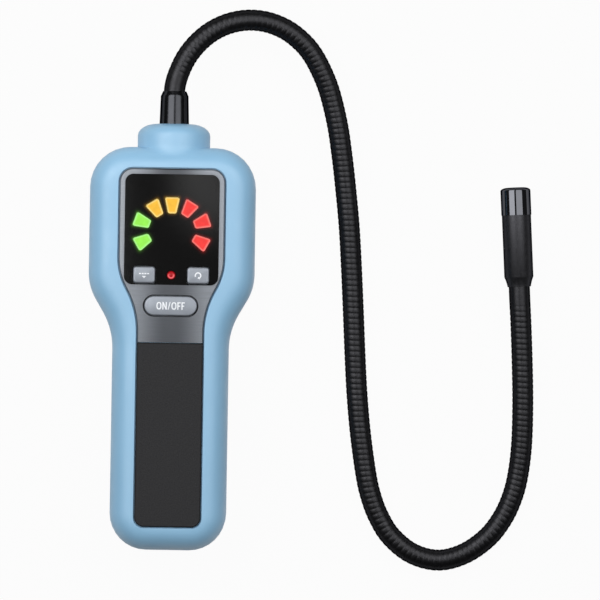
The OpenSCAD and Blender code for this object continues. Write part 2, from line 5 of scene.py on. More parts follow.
import bpy
import numpy as np
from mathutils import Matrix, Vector


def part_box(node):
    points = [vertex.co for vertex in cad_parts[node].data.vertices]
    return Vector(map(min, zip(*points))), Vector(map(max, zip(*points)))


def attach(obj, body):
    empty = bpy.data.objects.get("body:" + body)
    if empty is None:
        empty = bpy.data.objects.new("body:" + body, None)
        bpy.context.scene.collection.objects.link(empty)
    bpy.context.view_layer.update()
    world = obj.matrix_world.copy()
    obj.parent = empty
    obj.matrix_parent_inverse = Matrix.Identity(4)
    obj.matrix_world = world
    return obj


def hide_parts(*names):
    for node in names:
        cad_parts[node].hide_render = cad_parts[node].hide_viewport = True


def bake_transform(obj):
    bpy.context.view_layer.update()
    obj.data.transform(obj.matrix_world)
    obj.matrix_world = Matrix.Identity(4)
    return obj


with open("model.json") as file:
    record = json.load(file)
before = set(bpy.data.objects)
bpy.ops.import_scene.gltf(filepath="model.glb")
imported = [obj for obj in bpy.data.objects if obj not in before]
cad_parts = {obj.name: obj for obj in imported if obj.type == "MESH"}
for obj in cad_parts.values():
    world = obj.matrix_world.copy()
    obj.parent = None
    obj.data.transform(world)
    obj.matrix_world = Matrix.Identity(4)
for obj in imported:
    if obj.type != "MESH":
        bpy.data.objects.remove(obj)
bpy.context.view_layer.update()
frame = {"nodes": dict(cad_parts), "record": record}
NODES = frame["nodes"]
MM = 0.001


def mm(*values):
    """A point given in millimetres, in metres."""
    return Vector(values) * MM


# Places read from the frame. The box of a button takes in the flange under the face.
FERRULE_LOW, FERRULE_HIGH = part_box("neck_ferrule")
MOUTH_Y = FERRULE_HIGH.y
NECK_AXIS_Z = (FERRULE_LOW.z + FERRULE_HIGH.z) / 2
WINDOW_LOW, WINDOW_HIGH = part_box("display_window")
POWER_LOW, POWER_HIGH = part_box("power_button")
LAMP_LOW, LAMP_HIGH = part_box("indicator_led")
PANEL_LOW, PANEL_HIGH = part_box("control_panel")
PROBE_LOW, PROBE_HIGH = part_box("probe_sleeve")
PROBE_Z = (PROBE_LOW.z + PROBE_HIGH.z) / 2
BUTTON_FLANGE = 0.9 * MM
WINDOW_ROUND = 3.3 * MM

# Camera: straight above the photograph's middle, with the photograph's width at the height of that point
PHOTO_WIDTH = 0.246
PHOTO_CENTRE = mm(52.7, 15.9, 18)
PHOTO_ROLL = math.radians(0.92)
CAMERA_HEIGHT = 3.0
CAMERA_REACH = 20
SENSOR = 36.0


def set_camera():
    data = bpy.data.cameras.new("camera")
    data.sensor_width = SENSOR
    data.lens = SENSOR * CAMERA_HEIGHT / PHOTO_WIDTH
    data.clip_end = CAMERA_REACH
    camera = bpy.data.objects.new("camera", data)
    camera.location = PHOTO_CENTRE + Vector((0, 0, CAMERA_HEIGHT))
    camera.rotation_euler = (0, 0, PHOTO_ROLL)
    bpy.context.scene.collection.objects.link(camera)
    bpy.context.scene.camera = camera


# Studio: a square soft box at each side, both shifted towards +Y, a dim surround and a pale floor
BOX_HEIGHT = 0.9
BOX_SIZE = (1.0, 1.0)
BOX_OFFSET = 0.6
BOX_SHIFT = 0.42
LEFT_POWER = 11.8
RIGHT_POWER = 8.2
FILL_LEVEL = 0.08
FLOOR_REACH = 6
FLOOR_DROP = 0.0001
FLOOR_GREY = 0.32
FLOOR_WHITE_SHARE = 0.96


def add_soft_box(name, side, power):
    light = bpy.data.lights.new(name, "AREA")
    light.shape = "RECTANGLE"
    light.size, light.size_y = BOX_SIZE
    light.energy = power
    lamp = bpy.data.objects.new(name, light)
    lamp.location = (PHOTO_CENTRE.x + side * BOX_OFFSET, PHOTO_CENTRE.y + BOX_SHIFT, BOX_HEIGHT)
    bpy.context.scene.collection.objects.link(lamp)


def set_world():
    world = bpy.data.worlds.new("studio")
    world.use_nodes = True
    background = world.node_tree.nodes["Background"]
    background.inputs["Color"].default_value = (1, 1, 1, 1)
    background.inputs["Strength"].default_value = FILL_LEVEL
    bpy.context.scene.world = world


def floor_finish():
    """Nearly white to the camera, in reflections and through clear pieces; grey to all other light."""
    finish = bpy.data.materials.new("floor_white")
    finish.use_nodes = True
    tree = finish.node_tree
    tree.nodes.clear()
    output = tree.nodes.new("ShaderNodeOutputMaterial")
    diffuse = tree.nodes.new("ShaderNodeBsdfDiffuse")
    diffuse.inputs["Color"].default_value = (FLOOR_GREY, FLOOR_GREY, FLOOR_GREY, 1)
    glow = tree.nodes.new("ShaderNodeEmission")
    glow.inputs["Color"].default_value = (1, 1, 1, 1)
    mix = tree.nodes.new("ShaderNodeMixShader")
    path = tree.nodes.new("ShaderNodeLightPath")
    seen = path.outputs["Is Camera Ray"]
    for ray in ("Is Glossy Ray", "Is Transmission Ray"):
        either = tree.nodes.new("ShaderNodeMath")
        either.operation = "MAXIMUM"
        tree.links.new(seen, either.inputs[0])
        tree.links.new(path.outputs[ray], either.inputs[1])
        seen = either.outputs[0]
    share = tree.nodes.new("ShaderNodeMath")
    share.operation = "MULTIPLY"
    share.inputs[1].default_value = FLOOR_WHITE_SHARE
    tree.links.new(seen, share.inputs[0])
    tree.links.new(share.outputs[0], mix.inputs["Fac"])
    tree.links.new(diffuse.outputs[0], mix.inputs[1])
    tree.links.new(glow.outputs[0], mix.inputs[2])
    tree.links.new(mix.outputs[0], output.inputs["Surface"])
    return finish


def add_floor():
    mesh = bpy.data.meshes.new("floor")
    signs = ((-1, -1), (1, -1), (1, 1), (-1, 1))
    corners = [(x * FLOOR_REACH, y * FLOOR_REACH, 0) for x, y in signs]
    mesh.from_pydata(corners, [], [(0, 1, 2, 3)])
    mesh.materials.append(floor_finish())
    floor = bpy.data.objects.new("floor", mesh)
    floor.location.z = -FLOOR_DROP
    bpy.context.scene.collection.objects.link(floor)


class Finish:
    """A procedural material with a Principled shader and short helpers for its nodes."""

    def __init__(self, name, color, roughness, **sockets):
        self.name = name
        self.material = bpy.data.materials.new(name)
        self.material.use_nodes = True
        self.tree = self.material.node_tree
        self.shader = self.tree.nodes["Principled BSDF"]
        self.color = color
        self.shader.inputs["Base Color"].default_value = (*color, 1)
        self.shader.inputs["Roughness"].default_value = roughness
        for socket, value in sockets.items():
            self.shader.inputs[socket.replace("_", " ")].default_value = value
        self.coordinates = self.add("ShaderNodeTexCoord").outputs["Object"]

    def add(self, kind, **settings):
        node = self.tree.nodes.new(kind)
        for name, value in settings.items():
            setattr(node, name, value)
        return node

    def put(self, socket, value):
        """Links a node's output to a socket, or sets the socket to a plain value."""
        if isinstance(value, bpy.types.NodeSocket):
            self.tree.links.new(value, socket)
        else:
            socket.default_value = value

    def feed(self, name, value):
        """Puts a value on one of the shader's own sockets."""
        self.put(self.shader.inputs[name], value)

    def math(self, operation, *values):
        node = self.add("ShaderNodeMath", operation=operation)
        for socket, value in zip(node.inputs, values):
            self.put(socket, value)
        return node.outputs[0]

    def plus(self, first, second):
        return self.math("ADD", first, second)

    def minus(self, first, second):
        return self.math("SUBTRACT", first, second)

    def times(self, first, second):
        return self.math("MULTIPLY", first, second)

    def absolute(self, value):
        return self.math("ABSOLUTE", value)

    def positive(self, value):
        """The value, or 0 where it is negative."""
        return self.math("MAXIMUM", value, 0.0)

    def length(self, first, second):
        """Root of the sum of two squares."""
        return self.math("SQRT", self.plus(self.times(first, first), self.times(second, second)))

    def xyz(self):
        node = self.add("ShaderNodeSeparateXYZ")
        self.put(node.inputs[0], self.coordinates)
        return node.outputs

    def noise(self, size, detail, stretch=(1, 1, 1)):
        """Noise of about that feature size in metres, from 0 to 1."""
        mapping = self.add("ShaderNodeMapping")
        self.put(mapping.inputs["Vector"], self.coordinates)
        mapping.inputs["Scale"].default_value = [s / size for s in stretch]
        node = self.add("ShaderNodeTexNoise")
        self.put(node.inputs["Vector"], mapping.outputs[0])
        node.inputs["Scale"].default_value = 1.0
        node.inputs["Detail"].default_value = detail
        return node.outputs["Fac"]

    def ramp(self, value, low, high, start=0.3, end=0.7):
        """Goes smoothly from low at start to high at end. The usual start and end suit a noise."""
        node = self.add("ShaderNodeMapRange", interpolation_type="SMOOTHSTEP")
        self.put(node.inputs["Value"], value)
        node.inputs["From Min"].default_value = start
        node.inputs["From Max"].default_value = end
        node.inputs["To Min"].default_value = low
        node.inputs["To Max"].default_value = high
        return node.outputs["Result"]

    def blend(self, share, first, second):
        """Mix of two colours."""
        node = self.add("ShaderNodeMixRGB")
        for socket, value in zip(node.inputs, (share, first, second)):
            if isinstance(value, tuple):
                value = (*value, 1)
            self.put(socket, value)
        return node.outputs[0]

    def vary_color(self, value, amount):
        """Makes the colour lighter and darker by that share."""
        dark = tuple(c * (1 - amount) for c in self.color)
        pale = tuple(c * (1 + amount) for c in self.color)
        self.feed("Base Color", self.blend(value, dark, pale))

    def vary_roughness(self, value, low, high):
        self.feed("Roughness", self.ramp(value, low, high))

    def bump(self, value, depth):
        node = self.add("ShaderNodeBump")
        node.inputs["Strength"].default_value = 1.0
        node.inputs["Distance"].default_value = depth
        self.put(node.inputs["Height"], value)
        self.feed("Normal", node.outputs[0])


def srgb(*levels):
    """Linear colour from 8-bit display levels."""
    return tuple((v / 255 / 12.92) if v <= 10 else ((v / 255 + 0.055) / 1.055) ** 2.4 for v in levels)


# Textures: feature sizes in metres of the grain, the patches of roughness and the clouds of colour,
# depths of the grain in metres, and the shares by which colours vary
MOULD_GRAIN = 0.0004
MOULD_PATCH = 0.008
MOULD_CLOUD = 0.03
MOULD_SHARE = 0.04
MOULD_SPREAD = 0.05
METAL_GRAIN = 0.0003
METAL_PATCH = 0.0012
METAL_CLOUD = 0.004
METAL_SHARE = 0.1
PAD_GRAIN = 0.00055
PAD_DEPTH = 0.00009
PAD_PATCH = 0.0005
PAD_CLOUD = 0.0006
PAD_SHARE = 0.25


def moulded(name, color, roughness, depth=0.00002, **sockets):
    """Plastic or paint with a fine grain."""
    finish = Finish(name, color, roughness, **sockets)
    finish.vary_color(finish.noise(MOULD_CLOUD, detail=2), MOULD_SHARE)
    patches = finish.noise(MOULD_PATCH, detail=3)
    finish.vary_roughness(patches, roughness - MOULD_SPREAD, roughness + MOULD_SPREAD)
    finish.bump(finish.noise(MOULD_GRAIN, detail=3), depth)
    return finish


def turned_metal(name, color, roughness, spread=0.05, depth=0.000005, **sockets):
    """Metal or hard plastic with faint marks."""
    finish = Finish(name, color, roughness, **sockets)
    finish.vary_color(finish.noise(METAL_CLOUD, detail=3), METAL_SHARE)
    finish.vary_roughness(finish.noise(METAL_PATCH, detail=3), roughness - spread, roughness + spread)
    finish.bump(finish.noise(METAL_GRAIN, detail=2), depth)
    return finish


def pad_finish():
    """Black grip with a fine raised texture."""
    finish = Finish("pad_black", srgb(37, 37, 39), 0.6, Specular_IOR_Level=0.25)
    finish.vary_color(finish.noise(PAD_CLOUD, detail=4), PAD_SHARE)
    finish.vary_roughness(finish.noise(PAD_PATCH, detail=4), 0.5, 0.75)
    finish.bump(finish.noise(PAD_GRAIN, detail=4), PAD_DEPTH)
    return finish


# Lit display: a fan of bars. Each place is a bar's middle in millimetres from the middle of the top bar,
# on the right half, and each lean is its turn in degrees from upright.
GREEN = srgb(154, 247, 84)
AMBER = srgb(255, 194, 58)
RED = srgb(252, 62, 58)
GREEN_RIM = srgb(176, 255, 140)
AMBER_RIM = srgb(255, 220, 128)
RED_RIM = srgb(255, 124, 116)
BARS_Y = WINDOW_HIGH.y - 12.6 * MM
BAR_PLACES = [(0, 0), (6.7, -1.5), (12.1, -6.7), (11.7, -14.7)]
BAR_LEANS = [0, 31.5, 70, 119.5]
BAR_LENGTH = 6.4 * MM
BAR_HALF = 2.3 * MM
BAR_FLARE = 1.4 / 6.4
BAR_ROUND = 0.7 * MM
RIM_START = -0.85 * MM
RIM_END = -0.25 * MM
UNLIT_SHARE = 0.04
LIT_PATCH = 0.002
LIT_LOW = 0.88
LIT_HIGH = 0.98


def bar_distance(finish, side_x, y, place, lean):
    """Distance outside one bar, negative inside it."""
    cosine, sine = math.cos(math.radians(lean)), math.sin(math.radians(lean))
    off_x = finish.minus(side_x, place[0] * MM)
    off_y = finish.minus(y, BARS_Y + place[1] * MM)
    along = finish.plus(finish.times(off_x, sine), finish.times(off_y, cosine))
    across = finish.minus(finish.times(off_x, cosine), finish.times(off_y, sine))
    half = finish.math("MULTIPLY_ADD", along, BAR_FLARE, BAR_HALF - BAR_ROUND)
    side = finish.minus(finish.absolute(across), half)
    end = finish.minus(finish.absolute(along), BAR_LENGTH / 2 - BAR_ROUND)
    outside = finish.length(finish.positive(side), finish.positive(end))
    inside = finish.math("MINIMUM", finish.math("MAXIMUM", side, end), 0.0)
    return finish.minus(finish.plus(outside, inside), BAR_ROUND)


def bar_field(finish):
    """Distance outside the nearest bar, negative inside it. The left half mirrors the right one."""
    x, y, _ = finish.xyz()
    side_x = finish.absolute(x)
    nearest = None
    for place, lean in zip(BAR_PLACES, BAR_LEANS):
        distance = bar_distance(finish, side_x, y, place, lean)
        nearest = distance if nearest is None else finish.math("MINIMUM", nearest, distance)
    return nearest


def lit(name, color, rim):
    """A lit light guide, paler along its edge."""
    finish = Finish(name, tuple(c * UNLIT_SHARE for c in color), 0.3, Specular_IOR_Level=0.2)
    edge = finish.ramp(bar_field(finish), 0.0, 1.0, RIM_START, RIM_END)
    finish.feed("Emission Color", finish.blend(edge, color, rim))
    patches = finish.noise(LIT_PATCH, detail=2)
    finish.feed("Emission Strength", finish.ramp(patches, LIT_LOW, LIT_HIGH))
    return finish


# Window: a painted glow round the bars, as light given off by the window itself, and a haze that is
# roughest at the upper right corner
RED_FROM_X = 3.4 * MM
GREEN_BELOW = -13.5 * MM
# Painted glow on the window round the bars
PAINTED_GLOW_REACH = 0.35 * MM
PAINTED_GLOW_LEVEL = 0.25
HAZE_DROP_SHARE = 0.7
HAZE_START = 6 * MM
HAZE_END = 30 * MM
HAZE_ROUGH = 0.19
CLEAR_ROUGH = 0.04
MARK_SIZE = 0.002
MARK_ROUGH = 0.02


def window_finish():
    """Black gloss window with a painted glow round the bars, and a faint haze at its upper right."""
    finish = Finish("window_black", srgb(13, 13, 13), 0.05)
    x, y, _ = finish.xyz()
    low_left = finish.plus(x, finish.minus(y, BARS_Y))
    color = finish.blend(finish.math("LESS_THAN", low_left, GREEN_BELOW), AMBER, GREEN)
    color = finish.blend(finish.math("GREATER_THAN", x, RED_FROM_X), color, RED)
    finish.feed("Emission Color", color)
    # Painted glow: light given off by the window, fading away from the bars
    away = finish.positive(bar_field(finish))
    glow = finish.math("EXPONENT", finish.math("DIVIDE", away, -PAINTED_GLOW_REACH))
    finish.feed("Emission Strength", finish.times(glow, PAINTED_GLOW_LEVEL))
    drop = finish.times(finish.minus(y, WINDOW_HIGH.y), HAZE_DROP_SHARE)
    haze = finish.length(finish.minus(x, WINDOW_HIGH.x), drop)
    rough = finish.ramp(haze, HAZE_ROUGH, CLEAR_ROUGH, HAZE_START, HAZE_END)
    marks = finish.times(finish.noise(MARK_SIZE, detail=3), MARK_ROUGH)
    finish.feed("Roughness", finish.plus(rough, marks))
    return finish


# Lamp: its deep red is its own light, and its pale crescent is a painted highlight in that light. Reaches,
# rises and falls are in shares of its radius
LAMP_RADIUS = (LAMP_HIGH.x - LAMP_LOW.x) / 2
LAMP_MIDDLE = (LAMP_LOW + LAMP_HIGH) / 2
LAMP_DEEP = srgb(136, 2, 12)
# The crescent's colour is a painted highlight
LAMP_HIGHLIGHT = srgb(255, 118, 122)
CRESCENT_REACH = 0.62
CRESCENT_FULL = 0.06
CRESCENT_GONE = 0.3
CRESCENT_RISE_START = -0.1
CRESCENT_RISE_END = 0.5
CRESCENT_TOP_SHARE = 0.1
LAMP_FALL_START = 0.78
LAMP_FALL_END = 0.98
LAMP_LEVEL = 0.8
LAMP_EDGE_LEVEL = 0.2


def lamp_finish():
    """Red dome lamp, lit deep red at its centre, with a painted highlight as a pale crescent round its
    lower side.
    """
    finish = Finish("lamp_red", srgb(120, 2, 10), 0.25, Specular_IOR_Level=0.2)
    x, y, _ = finish.xyz()
    off_x = finish.minus(x, LAMP_MIDDLE.x)
    off_y = finish.minus(y, LAMP_MIDDLE.y)
    reach = finish.math("DIVIDE", finish.length(off_x, off_y), LAMP_RADIUS)
    rise = finish.math("DIVIDE", off_y, LAMP_RADIUS)
    # Painted highlight: a pale crescent round the lamp's lower side
    ring = finish.absolute(finish.minus(reach, CRESCENT_REACH))
    highlight_ring = finish.ramp(ring, 1.0, 0.0, CRESCENT_FULL, CRESCENT_GONE)
    highlight_lower = finish.ramp(rise, 1.0, CRESCENT_TOP_SHARE, CRESCENT_RISE_START, CRESCENT_RISE_END)
    finish.feed("Emission Color", finish.blend(finish.times(highlight_ring, highlight_lower), LAMP_DEEP, LAMP_HIGHLIGHT))
    level = finish.ramp(reach, LAMP_LEVEL, LAMP_EDGE_LEVEL, LAMP_FALL_START, LAMP_FALL_END)
    finish.feed("Emission Strength", level)
    return finish


# Panel: colours, the shares in which they are mixed, and where they change. The plate carries a painted
# reflection, paler towards its sides and darker towards the bottom, painted shade along the window's edge
# and a painted shade line round the power button
PANEL_HALF = (PANEL_HIGH.x - PANEL_LOW.x) / 2
# Painted reflection: the plate is darker towards the bottom
PANEL_SHADED_BOTTOM = srgb(73, 76, 81)
PANEL_TOP = srgb(78, 81, 86)
PANEL_RISE = 22 * MM
# Painted reflection: paler towards the sides, less so towards the bottom
SIDE_SHEEN_COLOR = srgb(152, 157, 164)
SIDE_SHEEN_START = 0.1 * PANEL_HALF
SIDE_SHEEN_END = 0.8 * PANEL_HALF
SIDE_SHEEN_LOW_SHARE = 0.6
SIDE_SHEEN_HIGH_SHARE = 0.86
SIDE_SHEEN_LOW_Y = WINDOW_LOW.y - 2 * MM
SIDE_SHEEN_HIGH_Y = WINDOW_LOW.y + 8 * MM
STREAK_COLOR = srgb(70, 71, 75)
STREAK_SHARE = 0.16
STREAK_WIDTH = 0.0003
STREAK_STRETCH = (0.03, 1, 1)
STREAK_DEPTH = 0.000004
# Painted shade on the plate along the window's edge
WINDOW_EDGE_SHADE_COLOR = srgb(78, 79, 83)
WINDOW_EDGE_SHADE_SHARE = 0.15
WINDOW_EDGE_SHADE_START = 0.3 * MM
WINDOW_EDGE_SHADE_END = 1.3 * MM
# Painted shade of the gap round the power button, as a dark line
GAP_SHADE_COLOR = srgb(16, 16, 18)
GAP_SHADE_START = 0.5 * MM
GAP_SHADE_END = 0.7 * MM


def rounded_field(finish, low, high, corner):
    """Distance outside a rounded box seen from the front."""
    x, y, _ = finish.xyz()
    offs = []
    for value, start, end in ((x, low.x, high.x), (y, low.y, high.y)):
        off = finish.absolute(finish.minus(value, (start + end) / 2))
        offs.append(finish.positive(finish.minus(off, (end - start) / 2 - corner)))
    return finish.minus(finish.length(*offs), corner)


def panel_color(finish, streaks):
    """Colour of the plate with its painted reflection and the painted shade along the window, without the
    painted shade round the power button.
    """
    x, y, _ = finish.xyz()
    # Painted reflection, darker towards the bottom
    level = finish.ramp(y, 0.0, 1.0, PANEL_LOW.y, PANEL_LOW.y + PANEL_RISE)
    color = finish.blend(level, PANEL_SHADED_BOTTOM, PANEL_TOP)
    # Painted reflection, paler towards the sides
    sides = finish.ramp(finish.absolute(x), 0.0, 1.0, SIDE_SHEEN_START, SIDE_SHEEN_END)
    share = finish.ramp(y, SIDE_SHEEN_LOW_SHARE, SIDE_SHEEN_HIGH_SHARE, SIDE_SHEEN_LOW_Y, SIDE_SHEEN_HIGH_Y)
    color = finish.blend(finish.times(sides, share), color, SIDE_SHEEN_COLOR)
    color = finish.blend(finish.ramp(streaks, 0.0, STREAK_SHARE), color, STREAK_COLOR)
    # Painted shade along the window's edge
    around = rounded_field(finish, WINDOW_LOW, WINDOW_HIGH, WINDOW_ROUND)
    edge_shade = finish.ramp(around, 1.0, 0.0, WINDOW_EDGE_SHADE_START, WINDOW_EDGE_SHADE_END)
    return finish.blend(finish.times(edge_shade, WINDOW_EDGE_SHADE_SHARE), color, WINDOW_EDGE_SHADE_COLOR)


def panel_finish():
    """Gunmetal plate with a painted reflection that makes it paler towards its sides, and painted shade as
    a dark line round the power button.
    """
    finish = Finish("panel_gunmetal", srgb(118, 119, 124), 0.42, Metallic=0.7)
    streaks = finish.noise(STREAK_WIDTH, detail=3, stretch=STREAK_STRETCH)
    flange = Vector((BUTTON_FLANGE, BUTTON_FLANGE, 0))
    low, high = POWER_LOW + flange, POWER_HIGH - flange
    # Painted shade of the gap round the power button
    gap = rounded_field(finish, low, high, (high.y - low.y) / 2)
    gap_shade = finish.ramp(gap, 0.0, 1.0, GAP_SHADE_START, GAP_SHADE_END)
    finish.feed("Base Color", finish.blend(gap_shade, GAP_SHADE_COLOR, panel_color(finish, streaks)))
    finish.vary_roughness(streaks, 0.36, 0.46)
    finish.bump(streaks, STREAK_DEPTH)
    return finish


# Metal without a pale edge, so that outlines stay dark
DARK_METAL = {"Metallic": 1.0, "Specular_Tint": (0, 0, 0, 1)}


def make_finishes():
    """All finishes by name."""
    finishes = [
        moulded("shell_blue", srgb(140, 187, 219), 0.46, Specular_IOR_Level=0.9),
        panel_finish(),
        window_finish(),
        pad_finish(),
        lamp_finish(),
        turned_metal("button_silver", srgb(146, 152, 161), 0.4, Metallic=0.25),
        moulded("board_green", srgb(20, 84, 46), 0.4),
        turned_metal("screw_steel", srgb(170, 170, 172), 0.3, Metallic=1.0),
        moulded("inner_black", srgb(34, 34, 36), 0.5),
        moulded("chip_white", srgb(230, 225, 205), 0.4),
        turned_metal("battery_jacket", srgb(92, 98, 108), 0.35, Metallic=0.6),
        turned_metal("ferrule_black", srgb(58, 59, 62), 0.2, spread=0.02, depth=0.000002, **DARK_METAL),
        turned_metal("neck_black", srgb(50, 50, 52), 0.4, **DARK_METAL),
        turned_metal("sleeve_black", srgb(65, 65, 68), 0.42, **DARK_METAL),
        turned_metal("cap_black", srgb(84, 85, 89), 0.045, spread=0.01, depth=0.000001, **DARK_METAL),
        turned_metal("sensor_metal", srgb(190, 190, 192), 0.3, Metallic=1.0),
        turned_metal("filter_bronze", srgb(150, 118, 74), 0.6, Metallic=0.8),
        moulded("sign_white", srgb(236, 239, 243), 0.5, depth=0.000002),
        lit("light_green", GREEN, GREEN_RIM),
        lit("light_amber", AMBER, AMBER_RIM),
        lit("light_red", RED, RED_RIM),
    ]
    return {finish.name: finish for finish in finishes}


CREASE_ANGLE = math.radians(32)
WELD_DISTANCE = 0.000002


def smooth(obj):
    """Shades a CAD part smooth, apart from edges sharper than the crease angle."""
    mesh = obj.data
    if "custom_normal" in mesh.attributes:
        mesh.attributes.remove(mesh.attributes["custom_normal"])
    mesh.polygons.foreach_set("use_smooth", [True] * len(mesh.polygons))
    weld = obj.modifiers.new("weld", "WELD")
    weld.merge_threshold = WELD_DISTANCE
    split = obj.modifiers.new("edges", "EDGE_SPLIT")
    split.split_angle = CREASE_ANGLE


def finish_nodes(finishes):
    for part in frame["record"]["subparts"]:
        obj = NODES[part["node"]]
        obj.data.materials.clear()
        obj.data.materials.append(finishes[part["material_slot"]].material)
        smooth(obj)


def new_piece(name, points, faces, finish, body):
    """A piece that is in the scene alone, riding on the given body if there is one."""
    mesh = bpy.data.meshes.new(name)
    mesh.from_pydata([tuple(p) for p in points], [], faces)
    mesh.update()
    obj = bpy.data.objects.new(name, mesh)
    bpy.context.scene.collection.objects.link(obj)
    mesh.materials.append(finish.material)
    if body:
        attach(obj, body)
    return obj


# Ribbed gooseneck, swept along the route of the CAD solid. The route is in millimetres from the ferrule's
# mouth, seen from the front. SINK and RISE are the shares of it over which it sinks to the table and rises
# to the probe.
SOCKET = 8
ROUTE = [
    (0, -SOCKET), (0, -3), (0, 1.5), (1.4, 7.1), (4.6, 14.1), (9.3, 20.2), (15.2, 25.1), (22.2, 28.4),
    (30, 29.8), (37.9, 29), (45.5, 26), (51.9, 21.2), (56.6, 15.6), (60.8, 7.8), (63.9, -0.3),
    (67, -12.6), (69, -24.9), (70.6, -37.2), (72.4, -53.6), (73.6, -70), (74.8, -90.4),
    (75.7, -106.8), (76.8, -123.2), (78.5, -139.6), (81, -156), (83.1, -164.8), (86.3, -173),
    (91.6, -181.3), (100.5, -188.3), (111.3, -190.9), (121.9, -188.1), (131.3, -181.4), (137.5, -173.2),
    (141.4, -164.4), (143.6, -155.2), (144.9, -142.6), (145.1, -126.1), (144.6, -109.7), (143.8, -93.3),
    (143.25, -84.8), (142.85, -77.8), (142.4, -69.8),
]
SINK_START = 0.05
SINK_END = 0.55
RISE_START = 0.82
RISE_END = 0.95
ROUTE_STEPS = 24
NECK_RADIUS = 4.4 * MM
NECK_LIFT = 0.15 * MM
NECK_LOW_Z = NECK_RADIUS + NECK_LIFT
NECK_SIDES = 28
RIB_PITCH = 2.25 * MM
RIB_DEPTH = 0.16 * MM
RIB_SAMPLES = 8
RIB_POWER = 3
RIB_CLEARANCE = 0.04 * MM
PLAIN_START = 12 * MM
PLAIN_END = 13 * MM
FADE_START = 6 * MM
FADE_END = 8 * MM


def ease(start, end, value):
    """Goes smoothly from 0 at start to 1 at end."""
    share = min(max((value - start) / (end - start), 0), 1)
    return share * share * (3 - 2 * share)


def neck_points():
    """The route's points in place."""
    last = len(ROUTE) - 1
    points = []
    for i, (x, y) in enumerate(ROUTE):
        z = NECK_AXIS_Z + (NECK_LOW_Z - NECK_AXIS_Z) * ease(SINK_START, SINK_END, i / last)
        z += (PROBE_Z - NECK_LOW_Z) * ease(RISE_START, RISE_END, i / last)
        points.append(Vector((x * MM, MOUTH_Y + y * MM, z)))
    return points


def spline_through(points):
    """Dense points on the smooth curve through the given ones."""
    path = []
    last = len(points) - 1
    for i in range(last):
        a, b = points[max(i - 1, 0)], points[i]
        c, d = points[i + 1], points[min(i + 2, last)]
        for k in range(ROUTE_STEPS):
            t = k / ROUTE_STEPS
            path.append((2 * b + (c - a) * t + (2 * a - 5 * b + 4 * c - d) * t ** 2
                         + (3 * b - a - 3 * c + d) * t ** 3) / 2)
    return path + [points[last]]


def evenly_spaced(path, spacing):
    """Points at even distances along a path, with the distance of each."""
    dense = np.array(path)
    lengths = np.concatenate([[0], np.cumsum(np.linalg.norm(np.diff(dense, axis=0), axis=1))])
    count = int(round(lengths[-1] / spacing))
    at = np.linspace(0, lengths[-1], count + 1)
    return np.stack([np.interp(at, lengths, dense[:, k]) for k in range(3)], 1), at


def unit(vectors):
    return vectors / np.linalg.norm(vectors, axis=1)[:, None]


def rib_radius(at, total, turn):
    """Radius along the neck: a spiral of pillow-shaped ribs, fading to plain ends."""
    fade = ease(PLAIN_START, PLAIN_START + FADE_START, at)
    fade *= ease(PLAIN_END, PLAIN_END + FADE_END, total - at)
    across = 2 * ((at / RIB_PITCH + turn / (2 * math.pi)) % 1) - 1
    return NECK_RADIUS - RIB_CLEARANCE - RIB_DEPTH * fade * abs(across) ** RIB_POWER


def tube_faces(rings, sides):
    """Faces of a closed tube whose points come ring by ring."""
    faces = []
    for ring in range(rings - 1):
        first, second = ring * sides, (ring + 1) * sides
        for k in range(sides):
            after = (k + 1) % sides
            faces.append((first + k, second + k, second + after, first + after))
    faces.append(tuple(range(sides)))
    faces.append(tuple((rings - 1) * sides + k for k in reversed(range(sides))))
    return faces


def add_neck(finishes):
    centres, at = evenly_spaced(spline_through(neck_points()), RIB_PITCH / RIB_SAMPLES)
    along = unit(np.gradient(centres, axis=0))
    side = unit(np.cross(along, (0, 0, 1)))
    up = np.cross(side, along)
    turns = np.linspace(0, 2 * math.pi, NECK_SIDES, endpoint=False)
    points = []
    for i, centre in enumerate(centres):
        for turn in turns:
            radius = rib_radius(at[i], at[-1], turn)
            points.append(centre + radius * (math.cos(turn) * side[i] - math.sin(turn) * up[i]))
    faces = tube_faces(len(centres), NECK_SIDES)
    neck = new_piece("ribbed_neck", points, faces, finishes["neck_black"], None)
    neck.data.polygons.foreach_set("use_smooth", [True] * len(neck.data.polygons))
    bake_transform(neck)
    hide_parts("gooseneck")


# Signs on the buttons, as thin plates of paint. Their outlines are in millimetres about a button's middle.
SIGN_SINK = 0.03 * MM
SIGN_PROUD = 0.05 * MM
LETTER_HEIGHT = 3.1
LETTER_GAP = 0.32
STROKE = 0.5
ROUND_POWER = 2.5
ROUND_STEPS = 32


def ring_points(half_width, half_height):
    """Rounded-box curve about the origin."""
    points = []
    for i in range(ROUND_STEPS):
        turn = 2 * math.pi * i / ROUND_STEPS
        cosine, sine = math.cos(turn), math.sin(turn)
        points.append((math.copysign(abs(cosine) ** (2 / ROUND_POWER), cosine) * half_width,
                       math.copysign(abs(sine) ** (2 / ROUND_POWER), sine) * half_height))
    return points


def shifted(points, off_x, off_y):
    return [(x + off_x, y + off_y) for x, y in points]


